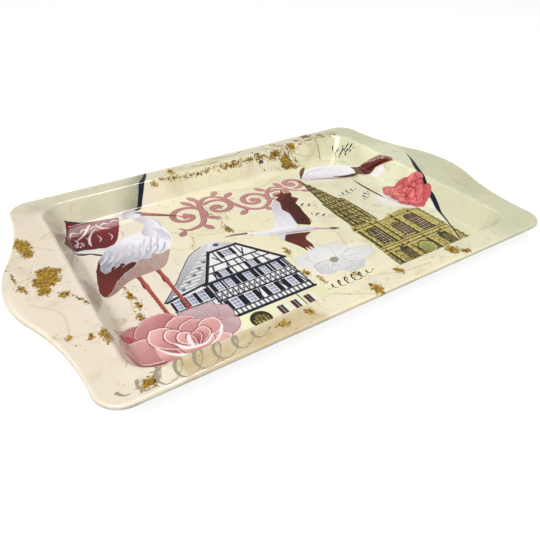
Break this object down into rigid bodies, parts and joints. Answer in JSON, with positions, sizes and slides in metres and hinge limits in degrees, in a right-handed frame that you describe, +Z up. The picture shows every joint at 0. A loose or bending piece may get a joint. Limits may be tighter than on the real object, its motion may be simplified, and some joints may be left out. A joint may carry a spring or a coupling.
{
  "type": "serving tray",
  "caption": "Rectangular tinplate serving tray: shallow flat-bottomed well with sloping walls, printed flat flange that swells into a wing at each end, and a hollow curled edge.",
  "frame": {"origin": "centre of the underside of the well's floor, where the tray stands", "axes": "+X along the tray's length, +Y from its front to its back, +Z up out of the well"},
  "size_m": [0.32, 0.2, 0.0147],
  "materials": {
    "tinplate": "bright tinplate under a thin clear lacquer",
    "printed_varnish": "multi-colour print under glossy clear varnish"
  },
  "bodies": {
    "root": {"floor_panel": "tinplate", "well_wall": "tinplate", "wing_flange": "tinplate", "rolled_edge": "tinplate", "print_coat": "printed_varnish"}
  },
  "joints": []
}
